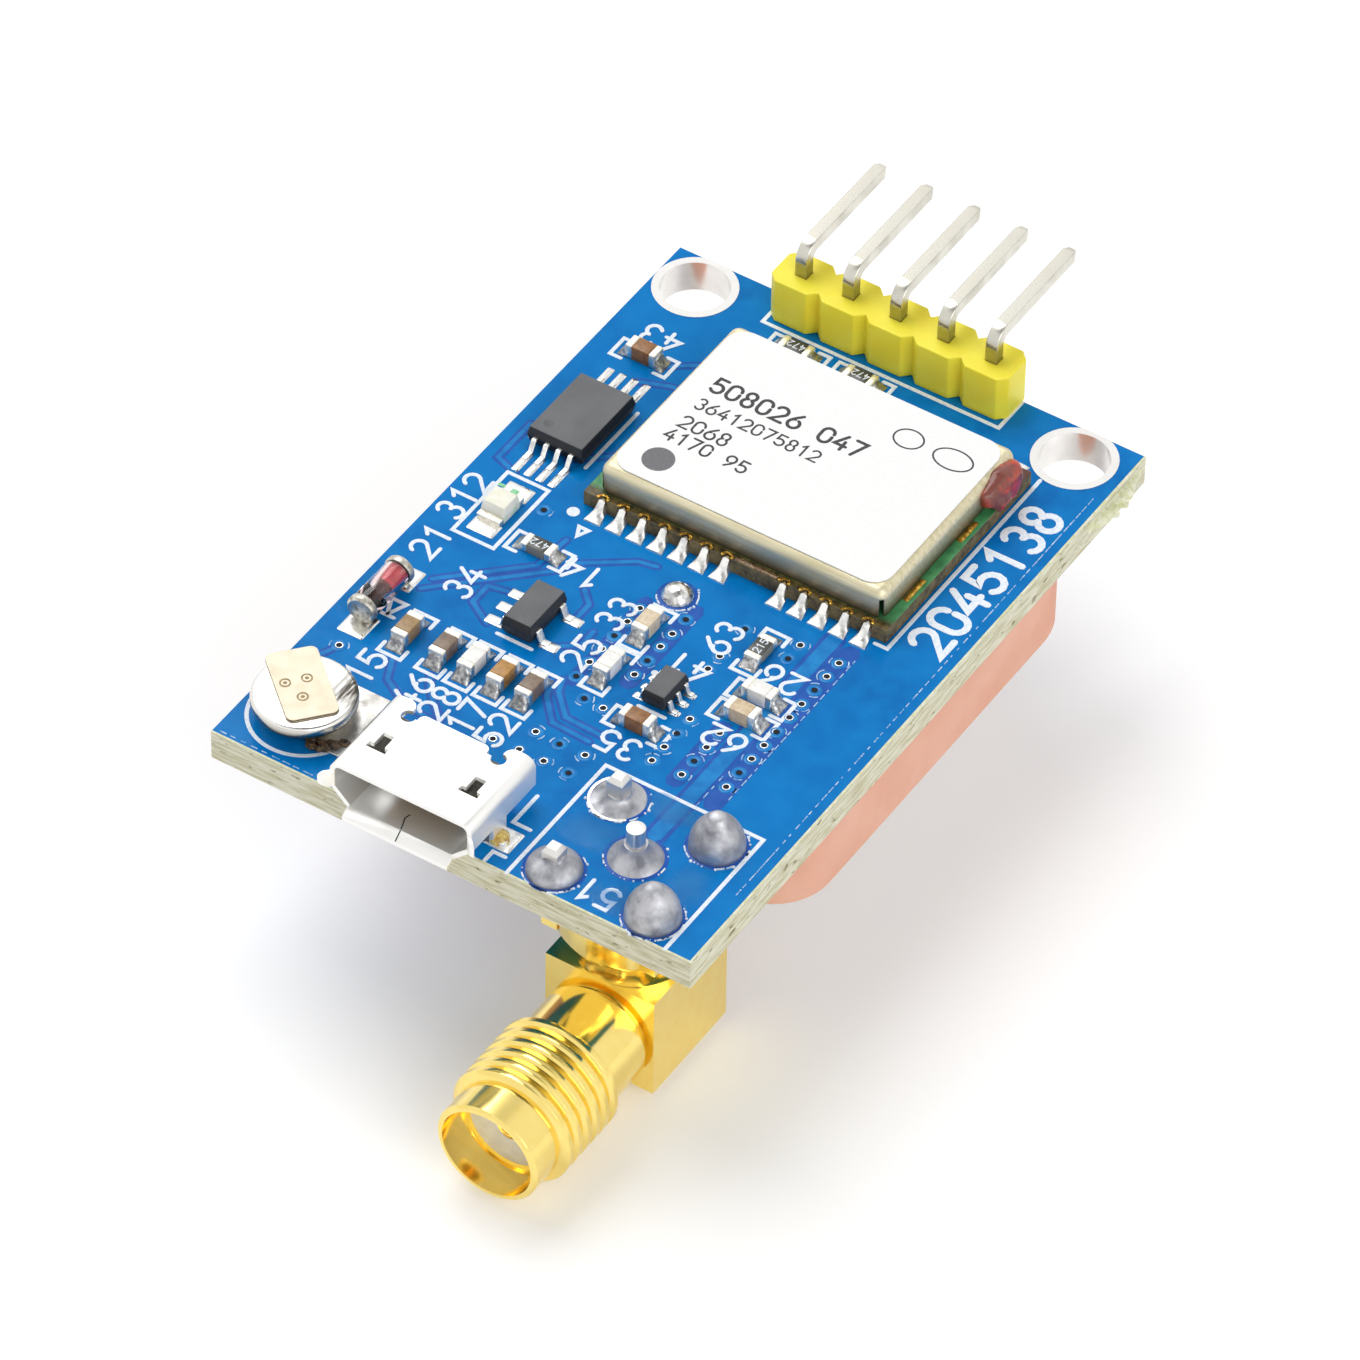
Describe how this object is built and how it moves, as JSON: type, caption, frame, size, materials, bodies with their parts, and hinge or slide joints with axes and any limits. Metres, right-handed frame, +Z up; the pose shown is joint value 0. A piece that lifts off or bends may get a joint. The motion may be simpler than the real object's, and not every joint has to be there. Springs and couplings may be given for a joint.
{
  "type": "gps module",
  "caption": "Small blue circuit board with a shielded satellite receiver, backup cell, USB socket, bent pin header, angled gold coaxial socket and a ceramic patch antenna below.",
  "frame": {"origin": "on the board's top face, midway between the two mounting holes near the back edge", "axes": "+Z up out of the board's component side, +Y towards the header's pins, +X to the right seen from the coaxial socket's end"},
  "size_m": [0.025, 0.0514, 0.0157],
  "materials": {
    "solder_mask": "gloss blue mask over glass laminate",
    "tin_plating": "smooth",
    "carrier_laminate": "gloss green mask, brown cut edges",
    "solder": "smooth",
    "shield_sheet": "satin",
    "label_paper": "satin",
    "epoxy_moulding": "fine matt",
    "filter_lid": "satin",
    "oscillator_lid": "satin",
    "lacquer": "wet gloss",
    "tinned_leads": "satin",
    "lamp_base": "satin",
    "lamp_resin": "milky",
    "diode_glass": "clear",
    "diode_metal": "satin",
    "diode_stud": "oxide red",
    "diode_die": "dark",
    "ceramic_tan": "fired",
    "ceramic_taupe": "fired",
    "ceramic_white": "fired",
    "ceramic_ochre": "fired",
    "ceramic_cream": "fired",
    "ceramic_brown": "fired",
    "ceramic_beige": "fired",
    "chip_tin": "satin",
    "resistor_film": "gloss",
    "cell_steel": "bright",
    "cell_gasket": "matt",
    "tab_nickel": "satin",
    "usb_steel": "bright",
    "usb_insulator": "matt",
    "contact_gold": "bright",
    "header_nylon": "moulded",
    "pin_tin": "satin",
    "coax_gold": "bright",
    "coax_ptfe": "waxy",
    "antenna_tape": "foam",
    "antenna_ceramic": "fired",
    "antenna_silver": "fired"
  },
  "bodies": {
    "root": {"circuit_board": "solder_mask", "hole_plating": "tin_plating", "receiver_carrier": "carrier_laminate", "receiver_solder": "solder", "receiver_shield": "shield_sheet", "receiver_label": "label_paper", "receiver_chip": "epoxy_moulding", "receiver_filter": "filter_lid", "receiver_oscillator": "oscillator_lid", "lacquer_dab": "lacquer", "memory_body": "epoxy_moulding", "memory_leads": "tinned_leads", "regulator_body": "epoxy_moulding", "regulator_leads": "tinned_leads", "amplifier_body": "epoxy_moulding", "amplifier_leads": "tinned_leads", "lamp_base": "lamp_base", "lamp_lens": "lamp_resin", "lamp_ends": "chip_tin", "diode_glass": "diode_glass", "diode_caps": "diode_metal", "diode_studs": "diode_stud", "diode_die": "diode_die", "row_capacitor_1": "ceramic_tan", "row_capacitor_2": "ceramic_taupe", "row_capacitor_3": "ceramic_white", "row_capacitor_4": "ceramic_ochre", "row_capacitor_5": "ceramic_taupe", "feed_capacitor": "ceramic_cream", "bias_capacitor": "ceramic_brown", "amplifier_capacitor": "ceramic_beige", "memory_capacitor": "ceramic_brown", "capacitor_ends": "chip_tin", "feed_coil": "ceramic_white", "amplifier_coil": "ceramic_white", "coil_ends": "chip_tin", "resistors": "resistor_film", "resistor_ends": "chip_tin", "cell_can": "cell_steel", "cell_gasket": "cell_gasket", "cell_cap": "cell_steel", "cell_top_tab": "tab_nickel", "cell_bottom_tab": "tab_nickel", "usb_shell": "usb_steel", "usb_tongue": "usb_insulator", "usb_contacts": "contact_gold", "header_housing": "header_nylon", "header_pins": "pin_tin", "header_solder": "solder", "coax_body": "coax_gold", "coax_insulator": "coax_ptfe", "coax_contact": "contact_gold", "coax_solder": "solder", "antenna_tape": "antenna_tape", "antenna_ceramic": "antenna_ceramic", "antenna_patch": "antenna_silver", "antenna_feed_pin": "solder", "antenna_feed_solder": "solder"}
  },
  "joints": []
}
